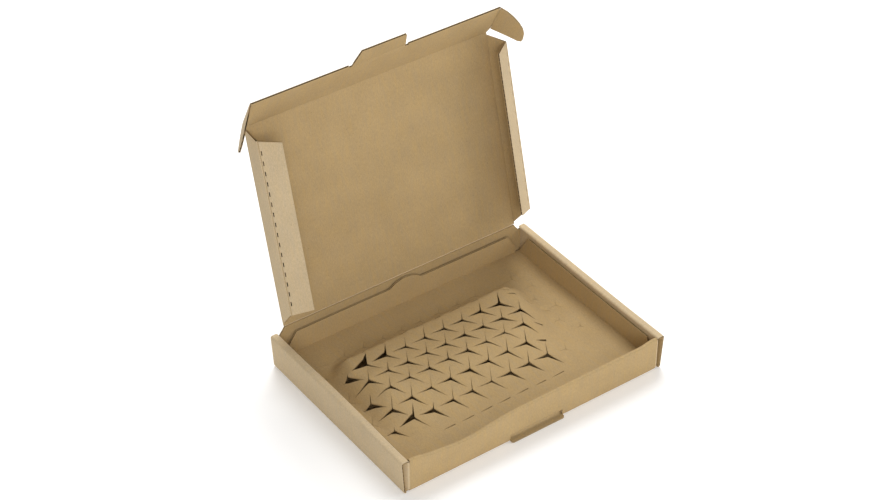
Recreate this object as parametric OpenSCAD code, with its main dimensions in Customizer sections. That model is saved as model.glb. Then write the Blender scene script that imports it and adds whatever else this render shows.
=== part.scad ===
// Flat mailing box of brown corrugated board, shown with its lid open.
// Inside rests a retention insert: one sheet with a lattice of Y-shaped
// slits that opens and stretches over whatever is packed underneath.
// The origin is the middle of the underside of the base, front towards -Y.

/* [Board] */
// Thickness of the corrugated board
board_t = 1.5; // [1.2:0.1:1.7]
// Free gap on the moving side of a fold line
fold_gap = 0.25; // [0.2:0.05:0.4]

/* [Tray] */
// Outer width of the tray
tray_w = 220; // [210:1:300]
// Outer depth of the tray
tray_d = 157; // [150:1:220]
// Height of the front wall and the side walls
wall_h = 27.5; // [26:0.5:34]
// Width of the rolled side walls along their top
side_roll_w = 5.9; // [5.6:0.1:8]
// Thickness of the front wall with its inner layer
front_roll_w = 3.1; // [3.1:0.1:4]
// How far a side wall leans in at its foot
side_lean = 1.6; // [0:0.1:2]
// Length of the dust flaps inside the side walls
dust_flap_l = 34; // [20:1:50]
// Height of the lid's fold line above the ground
hinge_h = 31.25; // [30:0.25:40]

/* [Lock slot] */
// Width of the slot at the foot of the front wall
slot_w = 44; // [44:1:60]
// Height of the slot above the base
slot_h = 3.2; // [2.5:0.1:5]
// How far the lip under the slot stands out
lip_l = 3; // [1.5:0.5:6]

/* [Lid] */
// Opening angle of the lid, from closed
lid_open = 104.4; // [95:0.1:120]
// Distance from the lid's front fold to the front wall, when closed
lid_front_gap = 2.85; // [2.5:0.05:4]
// Depth of the lid's side walls
lid_wall_h = 14.5; // [10:0.5:16]
// Fold angle of the left side wall
lid_wall_fold_left = 88; // [60:1:92]
// Fold angle of the right side wall
lid_wall_fold_right = 60; // [50:1:92]
// Width of the flanges on the lid's side walls
flange_w = 16.6; // [10:0.2:20]
// Fold angle of the left flange
flange_fold_left = 54; // [40:1:92]
// Fold angle of the right flange
flange_fold_right = 85; // [40:1:92]

/* [Tuck flap] */
// Height of the tuck flap
tuck_h = 29.5; // [24:0.5:30]
// Fold angle of the tuck flap
tuck_fold = 41.4; // [0:0.1:80]
// Height of the lock tab on the tuck flap
tab_h = 15.6; // [10:0.2:18]
// Half the width of the lock tab at its foot
tab_foot = 21.5; // [15:0.5:21.5]
// Half the width of the lock tab at its top
tab_top = 17.9; // [10:0.1:20]
// Length of the rounded ears
ear_l = 24.3; // [15:0.1:30]
// Fold angle of the ears
ear_fold = 50; // [20:1:90]
// Gap between an ear and the insert, when closed
ear_gap = 0.8; // [0.8:0.05:2]

/* [Insert] */
// Height of the insert's flat margin above the ground
margin_h = 7.4; // [6:0.1:9]
// Height of the insert's raised middle above the ground
raised_h = 18.5; // [12:0.5:19]
// Gap between the insert and the tray walls
insert_gap = 0.3; // [0.2:0.05:0.5]
// Room that the tuck flap needs inside the front wall
tuck_room = 10.2; // [10.2:0.1:14]
// Height of the insert's side flaps above the margin
side_flap_h = 17; // [10:0.5:18]
// Height of the insert's back flap above the margin
back_flap_h = 17.6; // [10:0.2:18]
// Height of the half-moon thumb tab on the back flap
thumb_h = 5.1; // [3:0.1:5.1]
// Width of the thumb tab
thumb_w = 26.8; // [20:0.2:40]

/* [Raised middle] */
// Left end of the raised middle
raised_left = -79; // [-80:1:-70]
// Right end of the raised middle
raised_right = 60; // [50:1:60]
// Back edge of the raised middle
raised_back = 36; // [30:1:38]
// Front edge of the raised middle, where its long slope starts
raised_front = -8; // [-12:1:0]
// Length of the slope down to the left
left_slope = 13; // [10:1:16]
// Length of the slope down to the right
right_slope = 20; // [14:1:22]
// Length of the slope down to the back
back_slope = 16; // [10:1:18]
// Length of the slope down to the front
front_slope = 39; // [30:1:40]

/* [Slit lattice] */
// Distance between slits along a row
slit_pitch = 16.1; // [14:0.1:20]
// Number of rows of slits
slit_rows = 8; // [5:1:8]
// Number of slits in a row
slit_cols = 10; // [6:1:10]
// Length of one arm of a slit
slit_arm = 11.8; // [9:0.1:13]
// Half the opening at the middle of a stretched slit
slit_open = 1.1; // [0.6:0.1:1.6]
// Half the opening at the middle of a slit in the flat margin
slit_shut = 0.4; // [0.3:0.05:0.6]

/* [Hidden] */
$fn = 48;
kraft = [0.73, 0.61, 0.44];
kraft_inside = [0.69, 0.57, 0.41];
kraft_insert = [0.70, 0.58, 0.41];
half_t = board_t / 2;
// A moving panel starts this far from its fold line
fold_start = half_t + fold_gap;
// Small overlap that joins solids of one piece
weld = 0.01;
cut = 1;
// Gap between the end of a wall and the layer of board beside it
layer_gap = 0.4;
// Inner faces of the tray
inner_x = tray_w / 2 - side_roll_w;
inner_front = -tray_d / 2 + front_roll_w;
inner_back = tray_d / 2 - board_t;
hinge_y = tray_d / 2 - half_t;
// The insert fills the tray, the ears pass inside its side flaps and
// the lid's side walls pass inside the ears
insert_x = inner_x - insert_gap - half_t;
ear_x = insert_x - half_t - ear_gap - half_t;
lid_x = ear_x - board_t - 2 * fold_gap;
lid_l = hinge_y - inner_front - lid_front_gap;
insert_back = inner_back - insert_gap - half_t;
panel_x = inner_x - layer_gap;
insert_leg = inner_front + tuck_room + half_t;
margin_z = margin_h - half_t;
// The dust flaps lie against the inner layer of the side walls
dust_x = inner_x + board_t + half_t + 0.1;
dust_foot = 5 * board_t;
dust_top = wall_h - board_t - 0.5;
// Ends of the lid's side walls and flanges, measured from the hinge line
wall_foot_end = 2;
wall_front_end = lid_l - 2;
flange_foot_end = 14;
flange_front_end = lid_l - 6.5;
flange_taper = 2.5;
tab_line = tuck_h - 0.9;

// A straight run of board seen from its edge, with round ends that are
// a hair smaller than the board, so that they cross its faces cleanly
module strip(a, b) {
    run = b - a;
    translate(a)
        rotate(atan2(run[1], run[0]))
            translate([0, -half_t])
                square([norm(run), board_t]);
    for (p = [a, b])
        translate(p)
            circle(half_t - weld);
}

// Board folded along the given middle line, seen from its edge
module folded(points) {
    for (i = [0 : len(points) - 2])
        strip(points[i], points[i + 1]);
}

// Extrudes a side view (Y, Z) across X
module across(x0, x1) {
    translate([x0, 0, 0])
        rotate([90, 0, 90])
            linear_extrude(x1 - x0)
                children();
}

// Extrudes a front view (X, Z) along Y
module along(y0, y1) {
    translate([0, y1, 0])
        rotate([90, 0, 0])
            linear_extrude(y1 - y0)
                children();
}

module both_sides() {
    children();
    mirror([1, 0, 0])
        children();
}

// Side wall: up the outside, over the top and down the inside
module side_roll() {
    foot_x = tray_w / 2 - side_lean - half_t;
    top_x = tray_w / 2 - half_t;
    roll_x = inner_x + half_t;
    along(-tray_d / 2, tray_d / 2)
        folded([[foot_x, half_t], [top_x, wall_h - half_t], [roll_x, wall_h - half_t]]);
    along(inner_front, inner_back - layer_gap)
        folded([[roll_x, wall_h - half_t], [roll_x, board_t]]);
}

// Dust flap: leaves the end of the front or back wall and turns into the roll
module dust_flap(wall_y, inwards) {
    turn_y = wall_y + inwards * (dust_x - inner_x - board_t);
    translate([0, 0, dust_foot])
        linear_extrude(dust_top - dust_foot)
            folded([[inner_x - board_t, wall_y], [inner_x + half_t, wall_y],
                    [dust_x, turn_y + inwards * half_t], [dust_x, wall_y + inwards * dust_flap_l]]);
}

module front_wall() {
    outer_y = -tray_d / 2 + half_t;
    inner_y = inner_front - half_t;
    difference() {
        across(-panel_x, panel_x)
            folded([[outer_y, half_t], [outer_y, wall_h - half_t],
                    [inner_y, wall_h - half_t], [inner_y, board_t]]);
        translate([-slot_w / 2, -tray_d / 2 - cut, board_t])
            cube([slot_w, front_roll_w + 2 * cut, slot_h]);
    }
}

// Back wall: as wide as the tray below, chamfered in to the lid's width above
module back_wall() {
    intersection() {
        across(-inner_x, inner_x)
            folded([[hinge_y, half_t], [hinge_y, hinge_h]]);
        along(hinge_y - board_t, hinge_y + board_t)
            polygon([[-panel_x, -cut], [panel_x, -cut], [panel_x, wall_h - 2 * board_t],
                     [lid_x, hinge_h + half_t + weld], [-lid_x, hinge_h + half_t + weld],
                     [-panel_x, wall_h - 2 * board_t]]);
    }
}

// The lip that was cut free from the slot stays in the plane of the base
module lip() {
    chamfer = 1;
    y0 = -tray_d / 2;
    linear_extrude(board_t)
        polygon([[-slot_w / 2, y0 + board_t], [-slot_w / 2, y0 - lip_l + chamfer],
                 [-slot_w / 2 + chamfer, y0 - lip_l], [slot_w / 2 - chamfer, y0 - lip_l],
                 [slot_w / 2, y0 - lip_l + chamfer], [slot_w / 2, y0 + board_t]]);
}

module tray() {
    color(kraft) {
        base_x = tray_w / 2 - side_lean - half_t;
        translate([-base_x, -tray_d / 2 + half_t, 0])
            cube([2 * base_x, tray_d - board_t, board_t]);
        both_sides() {
            side_roll();
            dust_flap(-tray_d / 2 + half_t, 1);
            dust_flap(tray_d / 2 - half_t, -1);
        }
        front_wall();
        back_wall();
        lip();
    }
}

// One slit: three tapered arms, one of them along the row
module slit(half_open) {
    tips = 3;
    polygon([for (k = [0 : 2 * tips - 1])
        let (r = k % 2 == 0 ? slit_arm : half_open, a = 180 + k * 180 / tips)
        [r * cos(a), r * sin(a)]]);
}

// The raised middle follows the packed thing: steep at the back and the
// ends, and a long slope down to the front
corner_cut = 12;
raised_top = [[raised_left + corner_cut / 4, raised_back], [raised_left, raised_back - corner_cut],
              [raised_left + 0.75 * corner_cut, raised_front],
              [raised_right - 1.3 * corner_cut, raised_front],
              [raised_right, raised_front + 2.3 * corner_cut], [raised_right, raised_back]];
foot_left = raised_left - left_slope;
foot_right = raised_right + right_slope;
foot_back = raised_back + back_slope;
foot_front = raised_front - front_slope;
raised_foot = [[foot_left + corner_cut, foot_back], [foot_left, foot_back - 1.5 * corner_cut],
               [foot_left + corner_cut / 3, foot_front + 1.4 * corner_cut],
               [foot_left + 1.5 * corner_cut, foot_front],
               [foot_right - 2.3 * corner_cut, foot_front],
               [foot_right, raised_front + 1.5 * corner_cut],
               [foot_right - corner_cut / 6, foot_back - 0.8 * corner_cut],
               [foot_right - 1.3 * corner_cut, foot_back]];

module raised_form(sink) {
    hull() {
        translate([0, 0, margin_h - sink])
            linear_extrude(weld)
                polygon(raised_foot);
        translate([0, 0, raised_h - sink])
            linear_extrude(weld)
                polygon(raised_top);
    }
}

// Middle of the lattice's back row, and how far a row lies in front of the last
lattice_x = -3.2;
lattice_back = 51.2;
row_step = slit_pitch * sqrt(3) / 2;
function slit_x(i, j) = lattice_x + (i - slit_cols / 2 + (j % 2) / 2) * slit_pitch;
// Slits at the ends of the lattice and past the raised middle stay shut
function is_open(i, j) = j > 0 && j < slit_rows - 2 && i > 0 && i < slit_cols - 1;

module slit_lattice() {
    for (j = [0 : slit_rows - 1], i = [0 : slit_cols - 1])
        translate([slit_x(i, j), lattice_back - j * row_step, 0])
            slit(is_open(i, j) ? slit_open : slit_shut);
}

module side_flap() {
    top = margin_h + side_flap_h;
    back_cut = 10;
    front_y = inner_front + insert_gap + 2.5;
    front_cut = 3.4;
    across(insert_x - half_t, insert_x + half_t)
        polygon([[insert_leg, margin_z], [insert_back - half_t, margin_z],
                 [insert_back - half_t - back_cut, top], [front_y + front_cut, top],
                 [front_y, top - 2.5 * front_cut], [front_y, margin_h + board_t]]);
}

module back_flap() {
    top = margin_h + back_flap_h;
    end_cut = 8;
    end_x = insert_x - 4;
    thumb_r = (pow(thumb_w / 2, 2) + pow(thumb_h, 2)) / (2 * thumb_h);
    along(insert_back - half_t, insert_back + half_t) {
        polygon([[-end_x, margin_z], [end_x, margin_z], [end_x, top - 1.6 * end_cut],
                 [end_x - end_cut, top], [-end_x + end_cut, top], [-end_x, top - 1.6 * end_cut]]);
        intersection() {
            translate([0, top + thumb_h - thumb_r])
                circle(thumb_r, $fn = 96);
            translate([-thumb_w / 2, top - weld])
                square([thumb_w, thumb_h + cut]);
        }
    }
}

module retention_insert() {
    color(kraft_insert) {
        difference() {
            union() {
                translate([-insert_x, insert_leg, margin_h - board_t])
                    cube([2 * insert_x, insert_back - insert_leg, board_t]);
                raised_form(0);
            }
            raised_form(board_t + weld);
            translate([0, 0, margin_h - 2 * board_t])
                linear_extrude(raised_h)
                    slit_lattice();
        }
        both_sides() {
            side_flap();
            along(insert_leg, insert_back)
                translate([insert_x, margin_z])
                    circle(half_t);
        }
        back_flap();
        across(-insert_x, insert_x) {
            translate([insert_back, margin_z])
                circle(half_t);
            folded([[insert_leg, margin_z], [insert_leg, board_t + half_t]]);
        }
    }
}

// Puts a piece that is drawn with the lid closed and flat to where the open lid is
module on_lid() {
    translate([0, hinge_y, hinge_h])
        rotate([-lid_open, 0, 0])
            children();
}

module lid() {
    color(kraft_inside)
        on_lid() {
            translate([-lid_x, -lid_l, -half_t])
                cube([2 * lid_x, lid_l - fold_start, board_t]);
            both_sides()
                translate([lid_x, -fold_start, 0])
                    rotate([90, 0, 0])
                        cylinder(h = lid_l - fold_start, r = half_t);
            translate([-lid_x, -lid_l, 0])
                rotate([0, 90, 0])
                    cylinder(h = 2 * lid_x, r = half_t);
        }
}

// Places what hangs on the lid's right-hand side fold
module on_lid_side(fold) {
    on_lid()
        translate([lid_x, 0, 0])
            rotate([0, fold, 0])
                children();
}

module flat_panel(points) {
    translate([0, 0, -half_t])
        linear_extrude(board_t)
            polygon(points);
}

module lid_wall(fold) {
    slope = (flange_foot_end - wall_foot_end) / lid_wall_h;
    color(kraft)
        on_lid_side(fold) {
            flat_panel([[fold_start, -wall_foot_end - slope * fold_start],
                        [lid_wall_h, -flange_foot_end],
                        [lid_wall_h, -flange_front_end],
                        [fold_start, -wall_front_end]]);
            translate([lid_wall_h, -flange_foot_end, 0])
                rotate([90, 0, 0])
                    cylinder(h = flange_front_end - flange_foot_end, r = half_t);
        }
}

module lid_flange(wall_fold, fold) {
    color(kraft_inside)
        on_lid_side(wall_fold)
            translate([lid_wall_h, 0, 0])
                rotate([0, fold, 0])
                    flat_panel([[fold_start, -flange_foot_end],
                                [flange_w, -flange_foot_end - flange_taper],
                                [flange_w, -flange_front_end + flange_taper],
                                [fold_start, -flange_front_end]]);
}

module lid_side_left() {
    mirror([1, 0, 0])
        lid_wall(lid_wall_fold_left);
}

module lid_side_right() {
    lid_wall(lid_wall_fold_right);
}

module lid_flange_left() {
    mirror([1, 0, 0])
        lid_flange(lid_wall_fold_left, flange_fold_left);
}

module lid_flange_right() {
    lid_flange(lid_wall_fold_right, flange_fold_right);
}

// Places what is cut from the tuck flap, which is drawn flat in front of the lid
module on_tuck() {
    on_lid()
        translate([0, -lid_l, 0])
            rotate([tuck_fold, 0, 0])
                children();
}

// Right half of the tuck flap's outline, from its fold to its free edge
notch_w = 2.5;
notch_h = 1.6;
ear_line_start = 4.5;
tuck_half = [[0, fold_start], [lid_x, fold_start], [ear_x, ear_line_start],
             [ear_x, tuck_h], [tab_foot + notch_w, tuck_h],
             [tab_foot + notch_w, tuck_h - notch_h], [tab_foot, tuck_h - notch_h],
             [tab_foot, tab_line], [tab_top, tab_line + tab_h], [0, tab_line + tab_h]];

module tuck_flap() {
    color(kraft)
        on_tuck() {
            both_sides() {
                flat_panel([for (p = tuck_half) [p[0], -p[1]]]);
                translate([ear_x, -ear_line_start, 0])
                    rotate([90, 0, 0])
                        cylinder(h = tuck_h - ear_line_start, r = half_t);
            }
        }
}

// Ear: straight at its foot, rounded from the flap's free edge to its tip
module ear() {
    tip_h = 5;
    color(kraft)
        on_tuck()
            translate([ear_x, 0, 0])
                rotate([0, ear_fold, 0])
                    translate([0, 0, -half_t])
                        linear_extrude(board_t)
                            intersection() {
                                translate([fold_start, -tuck_h])
                                    square([ear_l - fold_start, tuck_h - ear_line_start]);
                                translate([fold_start - 6, -tip_h])
                                    circle(ear_l - fold_start + 6, $fn = 96);
                            }
}

module tuck_ear_left() {
    mirror([1, 0, 0])
        ear();
}

module tuck_ear_right() {
    ear();
}

tray();
retention_insert();
lid();
lid_side_left();
lid_side_right();
lid_flange_left();
lid_flange_right();
tuck_flap();
tuck_ear_left();
tuck_ear_right();
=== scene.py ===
"""Looks of the retention packaging box: every panel of corrugated board is built
as a sheet with two liners, soft folds and raw cut edges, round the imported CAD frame."""

import math

import bpy
import numpy as np
from mathutils import Matrix, Vector
from mathutils.geometry import delaunay_2d_cdt


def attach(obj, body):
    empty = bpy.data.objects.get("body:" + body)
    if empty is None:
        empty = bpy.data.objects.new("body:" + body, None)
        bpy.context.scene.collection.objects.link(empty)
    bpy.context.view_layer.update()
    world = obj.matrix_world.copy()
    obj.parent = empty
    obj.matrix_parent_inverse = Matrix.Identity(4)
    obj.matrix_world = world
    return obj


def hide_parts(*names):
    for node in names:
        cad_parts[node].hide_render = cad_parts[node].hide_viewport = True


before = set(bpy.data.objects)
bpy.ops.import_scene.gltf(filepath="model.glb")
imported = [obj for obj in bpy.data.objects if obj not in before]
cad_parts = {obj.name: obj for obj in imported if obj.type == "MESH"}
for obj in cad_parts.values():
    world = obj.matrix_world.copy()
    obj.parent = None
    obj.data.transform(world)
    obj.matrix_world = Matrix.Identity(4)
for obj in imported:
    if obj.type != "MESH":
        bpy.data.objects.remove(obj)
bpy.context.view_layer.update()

# ---------------------------------------------------------------- sizes, in millimetres
MM = 0.001  # metres in a millimetre
T = 1.5  # thickness of the board
H = T / 2
FLUTE = 3.4  # distance between two flutes
FLUTE_PHASE = 2 * math.pi / (FLUTE * MM)  # radians of the flutes' wave in a metre
CRUSH = 0.86  # share of the thickness that a cut edge keeps
ROLL_R = 0.8  # radius of a soft fold
RNG = np.random.default_rng(7)

TRAY_X, TRAY_Y, WALL_Z = 110.0, 78.5, 27.5
PANEL_X, INNER_FRONT = 103.7, -75.4
HINGE = (0.0, 77.75, 31.25)
LID_X, LID_L, LID_OPEN = 98.75, 150.3, 104.4
EAR_X = 100.75
WALL_D, WALL_BACK, WALL_FRONT = 14.5, 14, LID_L - 6.5
FLANGE_W, FLANGE_BACK, FLANGE_FRONT = 16.6, 16.5, LID_L - 9
WALL_FOLD = {"left": 88.0, "right": 60.0}
FLANGE_FOLD = {"left": 54.0, "right": 85.0}
TUCK_FOLD, EAR_FOLD = 41.4, 50
TUCK_H, TAB_H, TAB_FOOT, TAB_TOP = 29.5, 15.6, 21.5, 17.9
SLOT_X = 22  # half the width of the lock slot and of the lip under it
# A CAD panel starts 1 mm past its fold line; the sheets here reach a little into that gap
LID_START, PANEL_START = 1.0 - 0.15, 1.0 - 0.2
MARGIN_Z, CREST_Z = 6.65, 18.2
INSERT_X, INSERT_BACK, INSERT_LEG = 103.05, 75.95, -64.45


# ---------------------------------------------------------------- places
def move(x, y, z):
    return np.array(Matrix.Translation((x, y, z)))


def turn(angle, axis):
    return np.array(Matrix.Rotation(math.radians(angle), 4, axis))


LID = move(*HINGE) @ turn(-LID_OPEN, "X")
TUCK = LID @ move(0, -LID_L, 0) @ turn(TUCK_FOLD, "X")
EAR = TUCK @ move(EAR_X, 0, 0) @ turn(EAR_FOLD, "Y")


def side_place(side):
    return LID @ move(LID_X, 0, 0) @ turn(WALL_FOLD[side], "Y")


def flange_place(side):
    return side_place(side) @ move(WALL_D, 0, 0) @ turn(FLANGE_FOLD[side], "Y")


def flat(matrix, bow=None):
    """A panel in a plane; bow(u, v) lifts its middle line."""
    def place(u, v, w):
        if bow is not None:
            w = w + bow(u, v)
        return (np.stack([u, v, w, np.ones_like(u)], 1) @ matrix.T)[:, :3]
    return place


ARC_STEPS = 8


def rounded_path(points, radius):
    """The points with each inner corner turned into an arc, as a dense polyline."""
    pts = [np.array(p, float) for p in points]
    out = [pts[0]]
    for a, p, b in zip(pts, pts[1:], pts[2:]):
        before, after = np.linalg.norm(p - a), np.linalg.norm(b - p)
        d0, d1 = (p - a) / before, (b - p) / after
        angle = math.acos(np.clip(d0 @ d1, -1, 1))
        if angle < 1e-3:
            continue
        reach = min(radius * math.tan(angle / 2), 0.49 * min(before, after))
        r = reach / math.tan(angle / 2)
        sign = np.sign(d0[0] * d1[1] - d0[1] * d1[0])
        centre = p - d0 * reach + sign * r * np.array([-d0[1], d0[0]])
        start = p - d0 * reach - centre
        for k in range(ARC_STEPS + 1):
            t = sign * angle * k / ARC_STEPS
            c, s = math.cos(t), math.sin(t)
            out.append(centre + np.array([c * start[0] - s * start[1], s * start[0] + c * start[1]]))
    out.append(pts[-1])
    return np.array(out)


def path_place(points, radius, to_frame):
    """Board that follows a path: v is the length along it, w the offset to its left."""
    line = rounded_path(points, radius)
    s = np.concatenate([[0], np.cumsum(np.linalg.norm(np.diff(line, axis=0), axis=1))])

    def at(v):
        return np.stack([np.interp(v, s, line[:, 0]), np.interp(v, s, line[:, 1])], 1)

    def place(u, v, w, near=0.05):
        p = at(v)
        t = at(np.minimum(v + near, s[-1])) - at(np.maximum(v - near, 0))
        t /= np.maximum(np.linalg.norm(t, axis=1), 1e-9)[:, None]
        return to_frame(u, p[:, 0] - t[:, 1] * w, p[:, 1] + t[:, 0] * w)
    return place, s


# ---------------------------------------------------------------- sheets
def spread(a, b, step):
    """Even numbers from a to b, no further apart than the step."""
    return np.linspace(a, b, max(2, int(math.ceil(abs(b - a) / step)) + 1))


def mirrored_x(points):
    return points * np.array([-1.0, 1.0, 1.0])


def turned_over(faces, uvs):
    return [tuple(reversed(f)) for f in faces], [list(reversed(uv)) for uv in uvs]


def inside(poly, pts):
    """Which points lie in the polygon."""
    poly = np.asarray(poly, float)
    x, y = pts[:, 0], pts[:, 1]
    res = np.zeros(len(pts), bool)
    a, b = poly, np.roll(poly, -1, 0)
    for (x0, y0), (x1, y1) in zip(a, b):
        if y0 == y1:
            continue
        hit = (y0 > y) != (y1 > y)
        res ^= hit & (x < (x1 - x0) * (y - y0) / (y1 - y0) + x0)
    return res


def edge_distance(poly, pts):
    """Distance of each point to the polygon's nearest edge."""
    poly = np.asarray(poly, float)
    best = np.full(len(pts), 1e9)
    for a, b in zip(poly, np.roll(poly, -1, 0)):
        d = b - a
        t = np.clip(((pts - a) @ d) / max(d @ d, 1e-12), 0, 1)
        best = np.minimum(best, np.linalg.norm(pts - a - t[:, None] * d, axis=1))
    return best


def dense(poly, step):
    """The polygon with points added along its edges."""
    out = []
    for a, b in zip(poly, np.roll(poly, -1, 0)):
        n = max(1, int(math.ceil(np.linalg.norm(b - a) / step)))
        out += [a + (b - a) * k / n for k in range(n)]
    return np.array(out)


EDGE_ROW, EDGE_ROW_MIN = 0.9, 0.8  # a row of points this far inside the outline, and no nearer
GRID_MARGIN = 1.5  # how far inside the outline the grid starts
JITTER = 0.06  # share of the step by which a point of the grid strays


def triangulate(outline, holes, step, extra=()):
    """Points and triangles of a flat sheet with holes. A row just inside its outline lets that be crushed."""
    outline = np.asarray(outline, float)
    rim = dense(outline, step)
    rings = [rim] + [dense(np.asarray(h, float), step * 0.7) for h in holes]
    lo, hi = outline.min(0), outline.max(0)
    xs = np.arange(lo[0] + step / 2, hi[0], step)
    ys = np.arange(lo[1] + step / 2, hi[1], step * 0.87)
    gx, gy = np.meshgrid(xs, ys)
    gx = gx + (np.arange(len(ys)) % 2)[:, None] * step / 2
    grid = np.stack([gx.ravel(), gy.ravel()], 1)
    grid += RNG.uniform(-JITTER, JITTER, grid.shape) * step
    if len(extra):
        grid = np.concatenate([grid, np.asarray(extra, float)])
    ok = inside(outline, grid) & (edge_distance(outline, grid) > GRID_MARGIN)
    for h in holes:
        h = np.asarray(h, float)
        near = np.abs(grid - h.mean(0)).max(1) < np.abs(h - h.mean(0)).max() + step
        bad = near.copy()
        bad[near] = inside(h, grid[near]) | (edge_distance(h, grid[near]) < 0.4 * step)
        ok &= ~bad
    mid = (rim + np.roll(rim, -1, 0)) / 2
    d = np.roll(rim, -1, 0) - rim
    n = np.stack([-d[:, 1], d[:, 0]], 1) / np.maximum(np.linalg.norm(d, axis=1), 1e-9)[:, None]
    inset = mid + n * EDGE_ROW
    inset = inset[inside(outline, inset) & (edge_distance(outline, inset) > EDGE_ROW_MIN)]
    pts = np.concatenate(rings + [grid[ok], inset])
    edges, base = [], 0
    for r in rings:
        edges += [(base + i, base + (i + 1) % len(r)) for i in range(len(r))]
        base += len(r)
    verts, _, faces, *_ = delaunay_2d_cdt([Vector(p) for p in pts], edges, [], 0, 1e-6)
    verts = np.array([tuple(v) for v in verts])
    faces = np.array([f for f in faces if len(f) == 3])
    c = verts[faces].mean(1)
    keep = inside(outline, c)
    for h in holes:
        h = np.asarray(h, float)
        near = np.abs(c - h.mean(0)).max(1) < np.abs(h - h.mean(0)).max()
        keep[near] &= ~inside(h, c[near])
    faces = faces[keep]
    a, b, d = verts[faces[:, 0]], verts[faces[:, 1]], verts[faces[:, 2]]
    cross = (b - a)[:, 0] * (d - a)[:, 1] - (b - a)[:, 1] * (d - a)[:, 0]
    faces[cross < 0] = faces[cross < 0][:, ::-1]
    return verts, [tuple(f) for f in faces[np.abs(cross) > 1e-9]]


def grid_sheet(us, vs, keep=lambda u, v: np.ones(len(u), bool)):
    """Points and quads of a sheet in rows and columns, for board that follows a path."""
    us, vs = np.unique(np.round(us, 4)), np.unique(np.round(vs, 4))
    gu, gv = np.meshgrid(us, vs)
    verts = np.stack([gu.ravel(), gv.ravel()], 1)
    w = len(us)
    i, j = np.meshgrid(np.arange(len(us) - 1), np.arange(len(vs) - 1))
    i, j = i.ravel(), j.ravel()
    cells = keep((us[i] + us[i + 1]) / 2, (vs[j] + vs[j + 1]) / 2)
    quads = np.stack([j * w + i, j * w + i + 1, (j + 1) * w + i + 1, (j + 1) * w + i], 1)[cells]
    return verts, [tuple(q) for q in quads]


# Profiles of an edge, from the upper liner to the lower: a cut with its core set back, a fold, a plain end
LINER, CORE_IN = 0.2, 0.7
RAW = [(0.0, H), (0.0, H - LINER), (-CORE_IN, H - 0.24), (-CORE_IN, -H + 0.24), (0.0, -H + LINER), (0.0, -H)]
RAW_CORE = 2  # the strip of the cut edge that shows the core
FOLD = [(H * math.cos(a), H * math.sin(a)) for a in np.linspace(math.pi / 2, -math.pi / 2, 9)]
PLAIN = [(0.0, H), (0.0, -H)]
PROFILE = {"raw": RAW, "fold": FOLD, "plain": PLAIN}


SHARP_ANGLE = 32


def add_mesh(name, parts, materials):
    """One object from (points, faces, material numbers, uv per corner)."""
    verts, faces, mats, uvs, base = [], [], [], [], 0
    for p, f, m, uv in parts:
        verts.append(p)
        faces += [tuple(i + base for i in face) for face in f]
        mats += m
        uvs += uv
        base += len(p)
    mesh = bpy.data.meshes.new(name)
    mesh.from_pydata((np.concatenate(verts) * MM).tolist(), [], faces)
    layer = mesh.uv_layers.new(name="UVMap")
    corners = np.array([c for uv in uvs for c in uv], np.float32)
    layer.data.foreach_set("uv", corners.ravel())
    mesh.polygons.foreach_set("material_index", np.array(mats, np.int32))
    for m in materials:
        mesh.materials.append(m)
    mesh.validate()
    for p in mesh.polygons:
        p.use_smooth = True
    mesh.set_sharp_from_angle(angle=math.radians(SHARP_ANGLE))
    obj = bpy.data.objects.new(name, mesh)
    bpy.context.scene.collection.objects.link(obj)
    return obj


UNDERSIDE_UV = (0.41, 0.23)  # offset of the underside in the liner's pattern
FLUTE_SKEW = 0.003  # drift of the flutes' phase along an edge that runs with them


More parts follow.
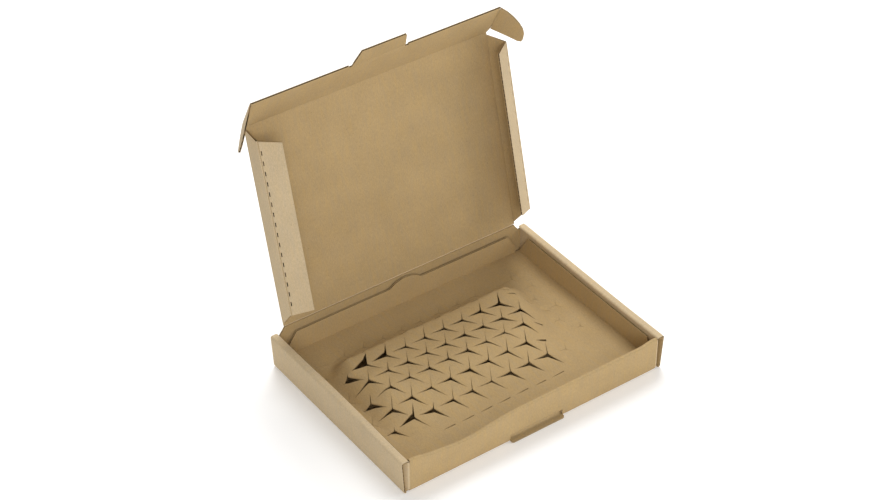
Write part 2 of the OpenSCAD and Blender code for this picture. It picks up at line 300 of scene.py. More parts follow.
def thicken(verts, faces, place, kind, dents=(), crush=CRUSH, t=T, flip=False, shift=0.0):
    """The sheet with both liners and its cut, folded or plain edges.

    kind(u, v) names an edge by its middle, dents are creases (two ends, depth, width), crush is the share of
    the thickness left at a cut edge, flip mirrors the sheet in x, and shift moves its pattern.
    """
    used = sorted({i for f in faces for i in f})
    remap = {i: k for k, i in enumerate(used)}
    verts = verts[used]
    faces = [tuple(remap[i] for i in f) for f in faces]
    n = len(verts)
    u, v = verts[:, 0], verts[:, 1]
    directed = {(f[k], f[(k + 1) % len(f)]) for f in faces for k in range(len(f))}
    border = sorted((a, b) for a, b in directed if (b, a) not in directed)
    scale = np.full(n, t / T)
    kinds = {}
    for a, b in border:
        m = (verts[a] + verts[b]) / 2
        kinds[(a, b)] = kind(m[0], m[1])
        if kinds[(a, b)] == "raw":
            scale[[a, b]] = crush * t / T
    for u0, v0, u1, v1, depth, width in dents:
        d = np.array([u1 - u0, v1 - v0])
        k = np.clip(((u - u0) * d[0] + (v - v0) * d[1]) / (d @ d), 0, 1)
        r = np.hypot(u - u0 - k * d[0], v - v0 - k * d[1])
        scale = scale * (1 - depth * np.exp(-(r / width) ** 2))
    out_n = np.zeros((n, 2))
    for a, b in border:
        d = verts[b] - verts[a]
        m = np.array([d[1], -d[0]]) / max(np.linalg.norm(d), 1e-9)
        out_n[a] += m
        out_n[b] += m
    out_n /= np.maximum(np.linalg.norm(out_n, axis=1), 1e-9)[:, None]
    top = place(u, v, H * scale)
    low = place(u, v, -H * scale)
    pts = [top, low]
    out_faces = [tuple(f) for f in faces] + [tuple(i + n for i in reversed(f)) for f in faces]
    mats = [0] * len(faces) + [1] * len(faces)
    face_uv = [[(verts[i][0] * MM + shift, verts[i][1] * MM) for i in f] for f in faces]
    du, dv = UNDERSIDE_UV
    uvs = face_uv + [[(p[0] + du, p[1] + dv) for p in reversed(f)] for f in face_uv]
    base = 2 * n
    rows = {}

    def row(i, name):
        nonlocal base
        if (i, name) not in rows:
            prof = PROFILE[name]
            ids = [i] + list(range(base, base + len(prof) - 2)) + [i + n]
            o = np.array([p[0] for p in prof[1:-1]])
            w = np.array([p[1] for p in prof[1:-1]]) * scale[i]
            if len(o):
                pts.append(place(u[i] + out_n[i, 0] * o, v[i] + out_n[i, 1] * o, w))
                base += len(o)
            rows[(i, name)] = ids
        return rows[(i, name)]

    for a, b in border:
        name = kinds[(a, b)]
        prof = PROFILE[name]
        ra, rb = row(a, name), row(b, name)
        d = verts[b] - verts[a]
        d = np.abs(d) / max(np.linalg.norm(d), 1e-9)
        # An edge that runs along the flutes starts a quarter flute back, so the whole edge shows the core's
        # near-black painted shade of an open groove
        sa, sb = ((verts[i][1] * d[1] + (FLUTE_SKEW * verts[i][0] - FLUTE / 4) * d[0]) * MM for i in (a, b))
        for k in range(len(prof) - 1):
            out_faces.append((rb[k], ra[k], ra[k + 1], rb[k + 1]))
            is_core = name == "raw" and k == RAW_CORE
            mats.append(2 if is_core else (0 if k < (len(prof) - 1) / 2 else 1))
            y0, y1 = (prof[k][1] * MM, prof[k + 1][1] * MM) if is_core else (0.0, 0.0)
            uvs.append([(sb, y0), (sa, y0), (sa, y1), (sb, y1)])
    points = np.concatenate(pts)
    if flip:
        points = mirrored_x(points)
        out_faces, uvs = turned_over(out_faces, uvs)
    return points, out_faces, mats, uvs


# ---------------------------------------------------------------- materials
class Nodes:
    """A material's node tree, with a short call for each kind of node that is used here."""
    def __init__(self, name):
        self.mat = bpy.data.materials.new(name)
        self.mat.use_nodes = True
        self.tree = self.mat.node_tree
        self.bsdf = self.tree.nodes["Principled BSDF"]

    def add(self, kind, **values):
        node = self.tree.nodes.new(kind)
        for key, value in values.items():
            setattr(node, key, value)
        return node

    def feed(self, value, socket):
        if isinstance(value, bpy.types.NodeSocket):
            self.tree.links.new(value, socket)
        else:
            socket.default_value = value

    def math(self, op, a, b=0.0):
        node = self.add("ShaderNodeMath", operation=op)
        self.feed(a, node.inputs[0])
        self.feed(b, node.inputs[1])
        return node.outputs[0]

    def noise(self, vector, scale, detail=3.0, rough=0.55):
        node = self.add("ShaderNodeTexNoise")
        self.feed(vector, node.inputs["Vector"])
        node.inputs["Scale"].default_value = scale
        node.inputs["Detail"].default_value = detail
        node.inputs["Roughness"].default_value = rough
        return node.outputs["Fac"]

    def stretch(self, vector, x, y):
        node = self.add("ShaderNodeMapping")
        self.feed(vector, node.inputs["Vector"])
        node.inputs["Scale"].default_value = (x, y, 1.0)
        return node.outputs[0]

    def ramp(self, value, lo, hi, to_lo=0.0, to_hi=1.0):
        node = self.add("ShaderNodeMapRange")
        self.feed(value, node.inputs["Value"])
        for key, number in (("From Min", lo), ("From Max", hi), ("To Min", to_lo), ("To Max", to_hi)):
            node.inputs[key].default_value = number
        return node.outputs[0]

    def uv(self):
        """The UV map, and its two numbers apart."""
        whole = self.add("ShaderNodeUVMap", uv_map="UVMap").outputs[0]
        split = self.add("ShaderNodeSeparateXYZ")
        self.feed(whole, split.inputs[0])
        return whole, split.outputs[0], split.outputs[1]

    def bump(self, height, strength, distance):
        node = self.add("ShaderNodeBump")
        node.inputs["Strength"].default_value = strength
        node.inputs["Distance"].default_value = distance
        self.feed(height, node.inputs["Height"])
        self.feed(node.outputs[0], self.bsdf.inputs["Normal"])


def kraft(name, colour, wash=1.0, mottle=1.0):
    """Brown liner: clouds, long fibres, specks and the faint bands of the flutes beneath."""
    n = Nodes(name)
    uv, _, along = n.uv()
    clouds = n.noise(uv, 38.0, 4.0, 0.6)
    streaks = n.noise(n.stretch(uv, 420.0, 60.0), 1.0, 3.0)
    fibres = n.noise(n.stretch(uv, 1500.0, 420.0), 1.0, 4.0, 0.7)
    grain = n.noise(uv, 1500.0, 2.0, 0.6)
    specks = n.ramp(n.noise(n.stretch(uv, 900.0, 620.0), 1.0, 1.0), 0.71, 0.78)
    pale = n.ramp(n.noise(n.stretch(uv, 700.0, 1100.0), 1.3, 1.0), 0.72, 0.80)
    wave = n.math("SINE", n.math("MULTIPLY", along, FLUTE_PHASE))
    wave = n.math("MULTIPLY", wave, n.ramp(clouds, 0.3, 0.7, 0.5, 1.0))
    tone = 1.0
    for pattern, amount in ((clouds, 0.20 * mottle), (streaks, 0.16 * mottle), (fibres, 0.55), (grain, 0.34)):
        tone = n.math("ADD", tone, n.math("MULTIPLY", n.math("SUBTRACT", pattern, 0.5), amount))
    tone = n.math("ADD", tone, n.math("MULTIPLY", wave, 0.004 * wash))
    tone = n.math("SUBTRACT", tone, n.math("MULTIPLY", specks, 0.28))
    tone = n.math("ADD", tone, n.math("MULTIPLY", pale, 0.14))
    mix = n.add("ShaderNodeVectorMath", operation="SCALE")
    mix.inputs[0].default_value = colour
    n.feed(tone, mix.inputs["Scale"])
    hue = n.add("ShaderNodeHueSaturation")
    n.feed(mix.outputs[0], hue.inputs["Color"])
    n.feed(n.ramp(streaks, 0.2, 0.8, 0.92, 1.07), hue.inputs["Saturation"])
    n.feed(hue.outputs[0], n.bsdf.inputs["Base Color"])
    n.feed(n.ramp(fibres, 0.3, 0.7, 0.80, 0.95), n.bsdf.inputs["Roughness"])
    n.bsdf.inputs["Specular IOR Level"].default_value = 0.22
    height = n.math("ADD", n.math("MULTIPLY", fibres, 0.55), n.math("MULTIPLY", grain, 0.45))
    height = n.math("ADD", height, n.math("MULTIPLY", wave, 0.14 * wash))
    n.bump(height, 0.5, 0.00012)
    return n.mat


def raw_core(name):
    """The cut edge between the liners: the wave of the medium before voids painted near black as shade."""
    n = Nodes(name)
    _, along, across = n.uv()
    place = n.add("ShaderNodeTexCoord").outputs["Object"]
    wobble = n.math("MULTIPLY", n.math("SUBTRACT", n.noise(place, 90.0, 2.0), 0.5), 1.6)
    phase = n.math("ADD", n.math("MULTIPLY", along, FLUTE_PHASE), wobble)
    sine = n.math("SINE", phase)
    off = n.math("ABSOLUTE", n.math("SUBTRACT", across, n.math("MULTIPLY", sine, 0.00032)))
    medium = n.ramp(off, 0.00008, 0.00018, 0.7, 0.0)
    crest = n.ramp(sine, 0.15, 0.75)
    torn = n.ramp(n.noise(place, 420.0, 3.0), 0.52, 0.70, 0.0, 0.45)
    paper = n.math("MAXIMUM", n.math("MAXIMUM", medium, crest), torn)
    mix = n.add("ShaderNodeMix", data_type="RGBA")
    n.feed(paper, mix.inputs["Factor"])
    shaded_hollow, board = [i for i in mix.inputs if i.type == "RGBA"]
    # Painted shade: the voids between the flutes are coloured near black instead of being lit
    shaded_hollow.default_value = (0.010, 0.007, 0.004, 1)
    board.default_value = (0.29, 0.19, 0.10, 1)
    n.feed([o for o in mix.outputs if o.type == "RGBA"][0], n.bsdf.inputs["Base Color"])
    n.bsdf.inputs["Roughness"].default_value = 0.95
    n.bsdf.inputs["Specular IOR Level"].default_value = 0.1
    n.bump(paper, 0.8, 0.0004)
    return n.mat


outside = kraft("kraft_outside", (0.552, 0.430, 0.268))
lining = kraft("kraft_inside", (0.430, 0.305, 0.150), mottle=1.3)
insert_face = kraft("kraft_insert", (0.440, 0.311, 0.152), wash=0.6)
core = raw_core("raw_edge")
# Materials of a sheet's upper side, underside and core
BOARD = [lining, outside, core]
BOARD_TURNED = [outside, lining, core]


def dress(obj, body, slot, *nodes):
    """The piece rides on the body and stands in for the nodes."""
    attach(obj, body)
    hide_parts(*nodes)


def raw_all(u, v):
    return "raw"


# ---------------------------------------------------------------- tray
tray_parts = []


def tray_part(verts, faces, place, kind, **more):
    tray_parts.append(thicken(verts, faces, place, kind, **more))


# Base, with the lip that stands out under the slot
lip = [(-SLOT_X, -77), (-SLOT_X, -80.6), (1 - SLOT_X, -81.5),
       (SLOT_X - 1, -81.5), (SLOT_X, -80.6), (SLOT_X, -77)]
base_outline = [(-107, 77), (-107, -77)] + lip + [(107, -77), (107, 77)]
v2, f2 = triangulate(base_outline, [], 7)
tray_part(v2, f2, flat(move(0, 0, H)), lambda u, v: "raw" if v < -77.2 else "plain")

# Front wall: outer layer, soft roll, inner layer; the slot at its foot
def front_wave(u, a, b):
    """The front wall leans out a little and sags to the left of its middle."""
    rise = np.clip(b / WALL_Z, 0, 1)
    sag = np.exp(-((u + 60) / 27) ** 2)
    held = np.clip((PANEL_X - np.abs(u)) / 14, 0.25, 1)
    swell = 0.2 * np.sin(u / 31.0) + 0.12 * np.sin(u / 13.0 + 1.0)
    out, down = 1.6 + 1.1 * sag, 0.5 + 3.3 * sag + 0.5 * swell
    return np.stack([u, a - out * held * rise, b - down * held * rise ** 2], 1)


front_path = [(-76.6, H), (-77.75, H), (-77.75, WALL_Z - H), (-76.15, WALL_Z - H), (-76.15, 1.6)]
place, s = path_place(front_path, ROLL_R, front_wave)
front_len = s[-1]
slot_top = 1.9 + 3.8
slot_inner = front_len - 2.6  # where the inner layer's notch behind the slot starts
end_band = 103  # an edge past this x is the cut end of the front or back wall


def front_keep(u, v):
    return ~((np.abs(u) < SLOT_X) & ((v < slot_top) | (v > slot_inner)))


def front_kind(u, v):
    at_slot = abs(u) < SLOT_X + 0.5 and (v < slot_top + 0.1 or v > slot_inner - 0.1)
    return "raw" if abs(u) > end_band or at_slot else "plain"


front_rows = np.concatenate([s, spread(3, 24, 2.5), spread(30, front_len - 3, 3), [slot_top, slot_inner]])
v2, f2 = grid_sheet(np.concatenate([spread(-PANEL_X, PANEL_X, 4), [-SLOT_X, SLOT_X]]), front_rows, front_keep)
tray_part(v2, f2, place, front_kind)

# Back wall, chamfered in to the lid's width
back_top_z = HINGE[2] - 0.2
upright_place, s = path_place([(76.6, H), (77.75, H), (77.75, back_top_z)], ROLL_R,
                              lambda u, a, b: np.stack([u, a, b], 1))
back_len = s[-1]


def back_place(u, v, w):
    z = v - (back_len - back_top_z)
    return upright_place(u * np.interp(z, [24.5, 30.5], [PANEL_X, LID_X]) / PANEL_X, v, w)


v2, f2 = grid_sheet(spread(-PANEL_X, PANEL_X, 4), np.concatenate([s, spread(3, back_len, 2.5)]))
tray_part(v2, f2, back_place,
          lambda u, v: "raw" if abs(u) > end_band else ("fold" if v > back_len - 0.5 else "plain"))

# Side walls: leaning outer layer, top, inner layer; then the dust flaps inside them
side_path = [(106.4, H), (107.65, H), (109.25, WALL_Z - H), (104.85, WALL_Z - H), (104.85, 1.6)]
wall_y = -77.75
dust_path = [(103.6, wall_y), (104.3, wall_y), (106.2, wall_y + 3.2), (106.45, wall_y + 34)]
inner_back = 76.6
for sign in (1, -1):
    def side_wave(u, a, b, sign=sign):
        lift = np.clip((b - 4) / 22, 0, 1)
        bow = 0.35 * np.sin((u + 78) / 157 * math.pi) * lift
        ripple = 0.12 * np.sin(u / 17.0 + sign) * lift
        sink = 0.12 * lift * (1 + np.sin(u / 23.0 + 2 * sign))
        return np.stack([np.minimum(a - bow + ripple, TRAY_X), u, b - sink], 1)

    place, s = path_place(side_path, ROLL_R, side_wave)
    top_v = s[-1] - 24.5
    side_rows = np.concatenate([s, spread(3, 25, 2.5), spread(28, 31, 0.8), spread(s[-1] - 24, s[-1], 3),
                                [top_v]])
    v2, f2 = grid_sheet(np.concatenate([spread(-TRAY_Y, TRAY_Y, 4), [INNER_FRONT, inner_back]]), side_rows,
                        lambda u, v, top_v=top_v: (v < top_v) | ((u > INNER_FRONT) & (u < inner_back)))
    tray_part(v2, f2, place, lambda u, v: "raw" if abs(u) > 75 else "plain", flip=sign < 0, shift=0.5)
    for end in (1, -1):
        place, s = path_place(dust_path, 0.9, lambda u, a, b, end=end: np.stack([a, end * b, u], 1))
        v2, f2 = grid_sheet(spread(1.7, 25.5, 3), np.concatenate([s, spread(4, s[-1], 4)]))
        pts, fcs, mts, uvs = thicken(v2, f2, place, raw_all, shift=0.8)
        if sign < 0:
            pts = mirrored_x(pts)
        if sign * end > 0:
            fcs, uvs = turned_over(fcs, uvs)
        tray_parts.append((pts, fcs, mts, uvs))

dress(add_mesh("tray_board", tray_parts, BOARD), "tray", "box_board", "tray")


# ---------------------------------------------------------------- lid
def panel(name, outline, holes, step, matrix, kind, body, slot, nodes, bow=None, dents=(), extra=(),
          mirrored=False, crush=CRUSH):
    """A flat panel of the lid, with its liner's outer side up; each hole is closed by a floor of core set to
    its near-black painted shade.
    """
    v2, f2 = triangulate(outline, holes, step, extra)
    place = flat(matrix, bow)
    parts = [thicken(v2, f2, place, kind, dents=dents, crush=crush, flip=mirrored)]
    for hole in holes:
        u, v = np.array(hole).T
        shade_floor_points = place(u, v, np.full(len(u), H / 3))
        if mirrored:
            shade_floor_points = mirrored_x(shade_floor_points)
        # Painted shade: the floor's flute phase gives the core's near-black colour, which stands in for the
        # shade inside the cut
        parts.append((shade_floor_points, [(0, 1, 2, 3)], [2], [[(-FLUTE / 4 * MM, 0.0)] * 4]))
    dress(add_mesh(name, parts, BOARD_TURNED), body, slot, *nodes)


def lid_bow(u, v):
    return 0.5 * np.sin(np.clip(-v / LID_L, 0, 1) * math.pi) * np.cos(u / LID_X * math.pi / 2) ** 2


lid_outline = [(-LID_X, -LID_START), (-LID_X, -LID_L), (LID_X, -LID_L), (LID_X, -LID_START)]
panel("lid_board", lid_outline, [], 5, LID, lambda u, v: "plain" if v > -2 else "fold",
      "lid", "lid_board", ["lid"], bow=lid_bow, crush=1.0)

start = PANEL_START
slope = 12 / WALL_D  # of the lid walls' back ends
# The perforation's dashes along a flange's fold
cuts = [[(1.35, v0), (1.35, v0 - 3.4), (2.05, v0 - 3.4), (2.05, v0)] for v0 in -21 - 7.5 * np.arange(16)]
for side in ("left", "right"):
    mirrored = side == "left"
    wall_outline = [(start, -2 - slope * start), (start, -(LID_L - 2)),
                    (WALL_D, -WALL_FRONT), (WALL_D, -WALL_BACK)]
    panel(f"lid_wall_{side}", wall_outline, [], 4, side_place(side),
          lambda u, v: "fold" if u > WALL_D - 0.05 else ("plain" if u < start + 0.1 else "raw"),
          f"lid_side_{side}", "lid_board", [f"lid_side_{side}"], mirrored=mirrored)
    flange_outline = [(start, -WALL_BACK), (start, -WALL_FRONT),
                      (FLANGE_W, -FLANGE_FRONT), (FLANGE_W, -FLANGE_BACK)]
    panel(f"lid_flange_board_{side}", flange_outline, cuts, 4, flange_place(side),
          lambda u, v: "plain" if u < start + 0.1 else "raw",
          f"lid_flange_{side}", "lid_board", [f"lid_flange_{side}"], mirrored=mirrored)

# ---------------------------------------------------------------- tuck flap, lock tab and ears
tab_line = TUCK_H - 0.9
notch_x, notch_y = 24, TUCK_H - 1.6
right_half = [(LID_X, start), (EAR_X, 4.5), (EAR_X, TUCK_H), (notch_x, TUCK_H), (notch_x, notch_y),
              (TAB_FOOT, notch_y), (TAB_FOOT, tab_line), (TAB_TOP, tab_line + TAB_H)]
tuck_points = right_half + [(-x, y) for x, y in reversed(right_half)]
tuck_outline = [(x, -y) for x, y in tuck_points][::-1]
tab_crease = (-22, -tab_line, 22, -tab_line, 0.45, 0.7)
tab_rows = [(x, -tab_line + d) for x in np.arange(-21, 21.1, 1.5) for d in (-0.8, 0.0, 0.8)]


def tuck_kind(u, v):
    if v > -start - 0.1:
        return "plain"
    return "fold" if abs(u) > EAR_X - 0.1 and v > -TUCK_H + 0.1 else "raw"


panel("tuck_board", tuck_outline, [], 4, TUCK, tuck_kind, "tuck_flap", "lid_board", ["tuck_flap"],
      dents=[tab_crease], extra=tab_rows)

EAR_L, EAR_BOW = 24, -0.9
ear_curve = [(0.8, 4.6), (21.6, 4.6), (24.0, 6.0), (24.3, 9.0), (23.4, 14.0), (21.0, 18.5), (17.2, 22.3),
             (12.0, 25.8), (6.5, 28.3), (0.8, 29.4)]
ear_outline = [(x, -y) for x, y in ear_curve][::-1]
for side in ("left", "right"):
    panel(f"ear_{side}", ear_outline, [], 3, EAR,
          lambda u, v: "plain" if u < 0.9 else "raw",
          f"tuck_ear_{side}", "lid_board", [f"tuck_ear_{side}"], mirrored=side == "left",
          bow=lambda u, v: EAR_BOW * (np.clip(u, 0, 30) / EAR_L) ** 2)

# ---------------------------------------------------------------- retention insert
top_poly = np.array([(-76, 36), (-79, 24), (-70, -8), (44, -8), (60, 20), (60, 36)], float)
foot_poly = np.array([(-80, 47), (-92, 34), (-88, -30), (-74, -45),
                      (56, -45), (74, 6), (76, 40), (62, 48)], float)
PITCH, ROW, ARM = 16.1, 13.94, 12.4  # between slits, between rows, and the length of an arm
LATTICE_X, LATTICE_Y = -3.2, 23.4


def slit_spot(i, j):
    return np.array([LATTICE_X + PITCH * i - PITCH / 2 * (j % 2), LATTICE_Y - ROW * j])


# Slits that differ from the rest: for each corner between two arms its distance and angle,
# and the arms' lengths
TORN = {(-4, 0): ((0.4, 0), (6.2, 84), (0.7, 240), (ARM, ARM, ARM)),
        (-3, 0): ((0.4, 0), (3.2, 82), (0.6, 240), (ARM, ARM, ARM)),
        (-5, 0): ((0.5, 0), (0.4, 120), (3.2, 262), (2.5, 2.5, ARM)),
        (-5, 2): ((0.6, 0), (0.3, 120), (3.0, 264), (9.0, 5.0, ARM)),
        (-4, 4): ((0.4, 0), (3.4, 76), (0.5, 240), (ARM, ARM, ARM)),
        (-3, 4): ((0.3, 0), (0.6, 110), (2.1, 240), (6.0, ARM, ARM)),
        (-5, 4): ((0.4, 0), (0.2, 120), (1.2, 265), (3.0, 5.0, 11.0)),
        (3, 0): ((0.9, 0), (1.0, 120), (2.0, 240), (ARM, ARM, ARM)),
        (2, 0): ((0.4, 0), (1.2, 90), (1.2, 240), (ARM, ARM, ARM)),
        (3, 3): ((0.5, 0), (0.4, 120), (1.3, 240), (ARM, ARM, ARM))}
# Wedges torn open at the right end: tip, wide end, width there
WEDGES = [(55.5, 42.0, 65.5, 34.0, 1.3), (54.0, 36.2, 60.5, 31.0, 0.5), (55.8, 29.2, 62.2, 25.7, 1.3),
          (54.5, -3.1, 61.3, -6.0, 1.5), (44.5, -19.6, 52.5, -21.4, 2.2), (63.0, 22.0, 69.5, 17.0, 0.5),
          (73.0, 11.0, 78.0, 7.2, 0.35), (35.5, 46.0, 42.0, 41.0, 0.6)]
SHUT = 0.14  # how far the corners of a slit that stays shut stand from its centre
slits = []
for j in range(-2, 5):
    for i in range(-5, 7):
        x, y = slit_spot(i, j)
        middle = -4 <= i <= 3 and 0 <= j <= 4 or (i, j) == (4, 1)
        if abs(x) > 92 or (x > 66 and j == 4) or (i >= 4 and j <= 3 and not middle and x < 70):
            continue
        arms = (ARM, ARM, ARM)
        if (i, j) in TORN:
            *corners, arms = TORN[(i, j)]
        elif middle:
            big = 1.25 if i in (-4, 3, 4) or j == 0 else 1.0
            reach = RNG.uniform([0.12, 0.12, 0.6], [0.4, 0.5, 1.5])
            corners = [(r * big, 120 * k) for k, r in enumerate(reach)]
        else:
            corners = [(SHUT, 0), (SHUT, 120), (SHUT, 240)]
            arms = tuple(RNG.uniform(0.25, 0.95, 3) * ARM)
        live = middle or (i, j) in TORN
        lift = RNG.uniform([0.3, 0.3, -1.1], [1.4, 1.2, -0.2]) if live else np.zeros(3)
        slits.append((x, y, corners, arms, lift))
# With a row of short dashes along the front edge
wedges = WEDGES + [(x, -50.0, x + 10.6, -49.9, 0.8) for x in -57 + 15.35 * np.arange(7)]


def wedge_outline(x0, y0, x1, y1, width):
    """A thin torn opening, from its tip to its wide end."""
    d = np.array([x1 - x0, y1 - y0])
    n = np.array([-d[1], d[0]]) / np.linalg.norm(d) * width / 2
    tip, end = np.array([x0, y0]), np.array([x1, y1])
    return np.array([tip, tip + d * 0.55 - n * 0.8, end - n * 0.7, end + n, tip + d * 0.5 + n * 0.6])


def slit_outline(x, y, corners, arms):
    """Arms at 60, 180 and 300 degrees, each after the corner before it."""
    out = []
    for k, (r, angle) in enumerate(corners):
        a, b = math.radians(angle), math.radians(120 * k + 60)
        out.append((x + r * math.cos(a), y + r * math.sin(a)))
        out.append((x + arms[k] * math.cos(b), y + arms[k] * math.sin(b)))
    return np.array(out)


def dome(u, v):
    """Height of the insert's middle line: the raised middle, the corners lifted at the slits, and wrinkles."""
    p = np.stack([u, v], 1)
    d_top = np.where(inside(top_poly, p), 0.0, edge_distance(top_poly, p))
    d_foot = np.where(inside(foot_poly, p), edge_distance(foot_poly, p), 0.0)
    k = d_foot / np.maximum(d_foot + d_top, 1e-6)
    k = k * k * (3 - 2 * k) * 0.35 + k * 0.65
    crown = 1.0 * np.clip(1 - ((u + 8) / 80) ** 2, 0, 1) * np.clip(1 - ((v - 12) / 40) ** 2, 0, 1)
    z = MARGIN_Z + (CREST_Z - MARGIN_Z) * k + crown * k
    for x, y, corners, arms, lift in slits:
        if not lift.any():
            continue
        dx, dy = u - x, v - y
        near = (np.abs(dx) < ARM) & (np.abs(dy) < ARM)
        if not near.any():
            continue
        r = np.hypot(dx[near], dy[near])
        a = np.degrees(np.arctan2(dy[near], dx[near])) % 360
        sector = (((a + 60) % 360) // 120).astype(int)
        off = np.abs((a + 60) % 120 - 60) / 60
        fall = np.clip(1 - r / ARM, 0, 1) ** 1.3 * (1 - 0.25 * off)
        z[near] += np.asarray(lift)[sector] * fall
    for x0, y0, x1, y1, h, w in WRINKLES:
        d = np.array([x1 - x0, y1 - y0])
        t = np.clip(((u - x0) * d[0] + (v - y0) * d[1]) / (d @ d), 0, 1)
        r = np.hypot(u - x0 - t * d[0], v - y0 - t * d[1])
        z = z + h * np.exp(-(r / w) ** 2) * np.sin(np.clip(t, 0.02, 0.98) * math.pi) ** 0.5
    wave = 0.18 * np.sin(u / 11.0 + 0.6) * np.sin(v / 9.0) + 0.12 * np.sin(u / 5.3 + v / 7.1)
    rim = np.clip(np.minimum(INSERT_X - np.abs(u), np.minimum(INSERT_BACK - v, v - INSERT_LEG)) / 12, 0, 1)
    return z + wave * rim


WRINKLES = [(62, 46, 76, 30, 0.9, 1.6), (64, 34, 82, 20, 0.7, 1.4), (63, 24, 84, 10, 0.8, 1.5),
            (56, 47, 74, 46, 0.8, 1.5), (60, 12, 80, -2, 0.5, 1.3), (52, -8, 68, -24, 0.5, 1.3),
            (70, 47, 92, 56, 0.5, 1.5), (-80, 46, -94, 55, 0.5, 1.5), (-84, -30, -96, -44, 0.6, 1.5),
            (-60, 48, -20, 49, 0.35, 1.3), (0, 48, 45, 49, 0.4, 1.2)]

# The raised sheet ends just inside the middle of the flaps that turn up or down from it
edge_x, edge_back, edge_leg = INSERT_X - 0.3, INSERT_BACK - 0.2, INSERT_LEG + 0.2
outline = [(-edge_x, edge_back), (-edge_x, edge_leg), (edge_x, edge_leg), (edge_x, edge_back)]
holes = [slit_outline(x, y, corners, arms) for x, y, corners, arms, lift in slits]
holes += [wedge_outline(*w) for w in wedges]
v2, f2 = triangulate(outline, holes, 2.6)


def sheet_place(u, v, w):
    return np.stack([u, v, dome(u, v) + w], 1)


def sheet_kind(u, v):
    return "fold" if abs(u) > edge_x - 0.05 or v > edge_back - 0.05 or v < edge_leg + 0.05 else "raw"


insert_parts = [thicken(v2, f2, sheet_place, sheet_kind, t=1.1, crush=0.8)]


def upright(outline, matrix, kind, bow=None, dents=(), flip=False):
    """A flap of the insert that stands up or hangs down from the sheet."""
    v2, f2 = triangulate(outline, [], 4)
    insert_parts.append(thicken(v2, f2, flat(matrix, bow), kind, dents=dents, flip=flip, shift=0.3))


foot = MARGIN_Z + 0.5
ROLL_BACK = move(0, INSERT_BACK, 0) @ turn(90, "X")
half = INSERT_X - 4
back_top = 25.0
THUMB_X, THUMB_H, THUMB_R = 0.7, 5.1, 20.0


def thumb_z(x):
    """Height of the half-moon thumb tab's edge."""
    drop = (1 - math.cos(math.asin(min(1, abs(x - THUMB_X) / THUMB_R)))) * THUMB_R
    return max(back_top, back_top + THUMB_H - drop)


thumb = [(x, thumb_z(x)) for x in np.linspace(14, -12.6, 15)]
back_outline = [(-half, foot), (half, foot), (half, 12.5), (half - 8, back_top), *thumb,
                (-half + 8, back_top), (-half, 12.5)]
upright(back_outline, ROLL_BACK, lambda u, v: "plain" if v < foot + 0.1 else "raw",
        bow=lambda u, v: (0.9 + 0.35 * np.sin(u / 37.0)) * np.clip((v - foot) / 18, 0, 1),
        dents=[(-13, back_top - 0.5, 14, back_top - 0.5, 0.3, 0.6)])
SIDE = move(INSERT_X, 0, 0) @ turn(90, "Z") @ turn(90, "X")
side_top = 24.3
side_outline = [(-64.6, foot), (edge_back - 0.4, foot), (64.8, side_top), (-69.0, side_top - 0.4),
                (-72.2, 15.5), (-72.4, 9.0)]
for sign in (1, -1):
    upright(side_outline, SIDE, lambda u, v: "plain" if v < foot + 0.1 and u > -65 else "raw",
            bow=lambda u, v: -0.24 * np.sin((u + 70) / 140 * math.pi) * np.clip((v - foot) / 16, 0, 1),
            flip=sign < 0)
LEG = move(0, INSERT_LEG, 0) @ turn(90, "X")
leg_outline = [(-INSERT_X + 1, 1.6), (INSERT_X - 1, 1.6), (INSERT_X - 1, foot), (-INSERT_X + 1, foot)]
upright(leg_outline, LEG, lambda u, v: "plain" if v > 3 else "raw")

dress(add_mesh("insert_board", insert_parts, [insert_face, insert_face, core]),
      "tray", "insert_board", "retention_insert")

# ---------------------------------------------------------------- floor, light, camera
bpy.ops.mesh.primitive_plane_add(size=8, location=(0, 0, -0.0003))
floor = bpy.context.object
floor.name = "floor"
floor_white = bpy.data.materials.new("floor_white")
floor_white.use_nodes = True
paint = floor_white.node_tree.nodes["Principled BSDF"].inputs
paint["Base Color"].default_value = (0.93, 0.93, 0.93, 1)
paint["Roughness"].default_value = 0.6
paint["Emission Color"].default_value = (1, 1, 1, 1)
paint["Emission Strength"].default_value = 0.14
floor.data.materials.append(floor_white)

world = bpy.data.worlds.new("studio")
bpy.context.scene.world = world
world.use_nodes = True
wt = world.node_tree
wt.nodes.clear()
out = wt.nodes.new("ShaderNodeOutputWorld")
soft, white = (wt.nodes.new("ShaderNodeBackground") for _ in range(2))
for node, colour, strength in ((soft, (1.0, 0.995, 0.985, 1), 0.38), (white, (1, 1, 1, 1), 1.0)):
    node.inputs["Color"].default_value = colour
    node.inputs["Strength"].default_value = strength
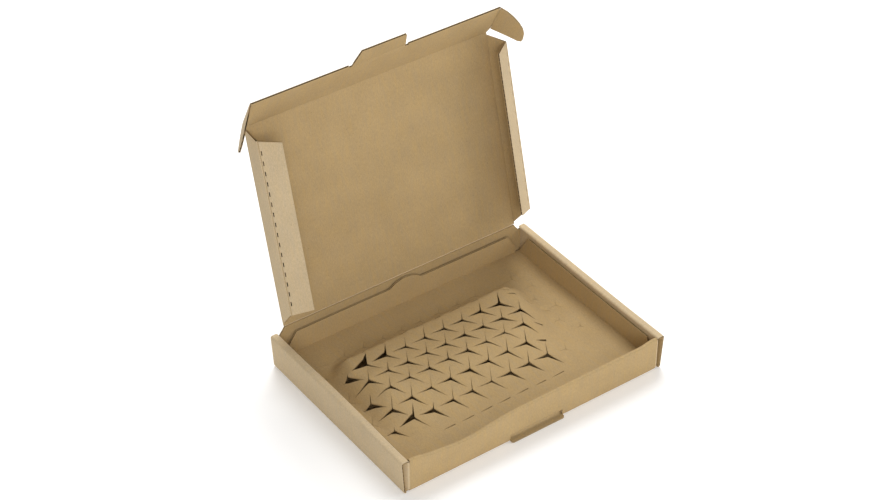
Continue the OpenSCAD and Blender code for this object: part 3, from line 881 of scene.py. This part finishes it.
# The camera and mirrors see white, the light itself is softer
path_node = wt.nodes.new("ShaderNodeLightPath")
blend_node = wt.nodes.new("ShaderNodeMixShader")
seen = wt.nodes.new("ShaderNodeMath")
seen.operation = "MAXIMUM"
wt.links.new(path_node.outputs["Is Camera Ray"], seen.inputs[0])
wt.links.new(path_node.outputs["Is Glossy Ray"], seen.inputs[1])
wt.links.new(seen.outputs[0], blend_node.inputs[0])
wt.links.new(soft.outputs[0], blend_node.inputs[1])
wt.links.new(white.outputs[0], blend_node.inputs[2])
wt.links.new(blend_node.outputs[0], out.inputs[0])


def area(name, place, size, power, colour=(1, 1, 1)):
    """A round lamp that looks at the box."""
    lamp = bpy.data.lights.new(name, "AREA")
    lamp.shape = "DISK"
    lamp.size = size
    lamp.energy = power
    lamp.color = colour
    obj = bpy.data.objects.new(name, lamp)
    bpy.context.scene.collection.objects.link(obj)
    obj.location = place
    obj.rotation_mode = "QUATERNION"
    obj.rotation_quaternion = (BOX_MIDDLE - Vector(place)).to_track_quat("-Z", "Y")


BOX_MIDDLE = Vector((0, 0, 0.06))
area("right", (1.5, -0.7, 0.8), 0.9, 8.0, (1.0, 0.99, 0.975))
area("back", (0.45, 0.75, 1.25), 1.1, 18.0)
area("front", (-0.75, -1.6, 0.85), 1.0, 15.0, (1.0, 0.985, 0.96))

# The photograph's camera: the point that it looks at, its direction and distance
LOOK_AT, AZIMUTH, ELEVATION, DISTANCE = Vector((0.05972, 0.11807, 0.0)), -35.73, 37.94, 1.67823

cam_data = bpy.data.cameras.new("camera")
cam_data.lens = 93.48
cam_data.sensor_width = 36
cam_data.clip_start, cam_data.clip_end = 0.05, 30
cam = bpy.data.objects.new("camera", cam_data)
bpy.context.scene.collection.objects.link(cam)
az, el = math.radians(AZIMUTH), math.radians(ELEVATION)
back = Vector((math.sin(az) * math.cos(el), -math.cos(az) * math.cos(el), math.sin(el)))
cam.location = LOOK_AT + back * DISTANCE
cam.rotation_mode = "QUATERNION"
cam.rotation_quaternion = (-back).to_track_quat("-Z", "Y")
bpy.context.scene.camera = cam
bpy.context.scene.view_settings.view_transform = "Standard"
